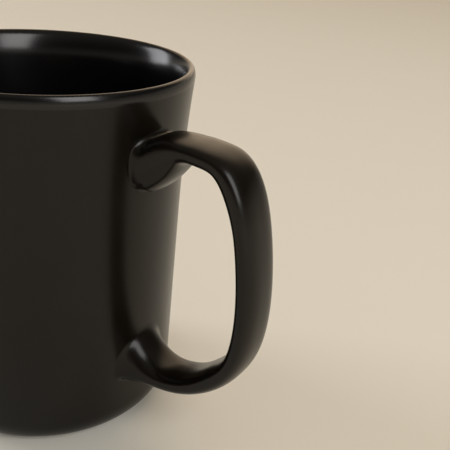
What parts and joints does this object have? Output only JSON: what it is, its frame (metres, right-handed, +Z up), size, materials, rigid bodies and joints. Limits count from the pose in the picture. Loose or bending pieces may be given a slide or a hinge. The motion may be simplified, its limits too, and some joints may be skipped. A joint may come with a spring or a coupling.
{
  "type": "ceramic mug",
  "caption": "Tall round stoneware mug with a gently flared wall, a rounded heel on a bare foot ring, a side loop handle, satin black outside and gloss black inside.",
  "frame": {"origin": "middle of the foot ring's flat face, on the cup's own axis", "axes": "+Z up along the cup's axis, +X from the axis through the handle, +Y completes the right-handed set"},
  "size_m": [0.1203, 0.0852, 0.105],
  "materials": {
    "clay": "bare fired stoneware, smooth, matt",
    "slip": "fired luting slip, matt",
    "satin_glaze": "satin black glaze",
    "gloss_glaze": "gloss black glaze"
  },
  "bodies": {
    "root": {"cup_body": "clay", "handle": "clay", "upper_joint": "slip", "lower_joint": "slip", "outer_glaze": "satin_glaze", "liner_glaze": "gloss_glaze", "handle_glaze": "satin_glaze", "base_glaze": "satin_glaze"}
  },
  "joints": []
}
